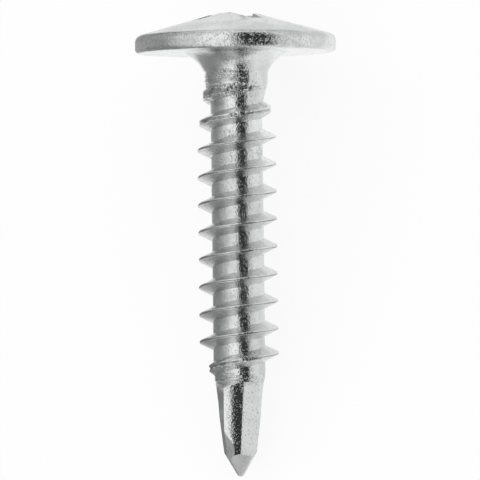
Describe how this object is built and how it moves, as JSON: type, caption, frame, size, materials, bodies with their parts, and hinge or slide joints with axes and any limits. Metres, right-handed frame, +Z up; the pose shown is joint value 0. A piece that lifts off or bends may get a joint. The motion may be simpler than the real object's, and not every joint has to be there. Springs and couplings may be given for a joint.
{
  "type": "self drilling screw",
  "caption": "Self drilling screw with a low round wafer head, a cross recess, a coarse right hand thread and a forged drill point, in zinc plated steel.",
  "frame": {"origin": "centre of the footprint on the surface that the screw lies on", "axes": "+Z up, +Y from the drill point to the head along the surface, +X across the screw"},
  "size_m": [0.0104, 0.0238, 0.0103],
  "materials": {
    "zinc_steel": "bright zinc plating, pitted and slightly scuffed"
  },
  "bodies": {
    "root": {"screw": "zinc_steel"}
  },
  "joints": []
}
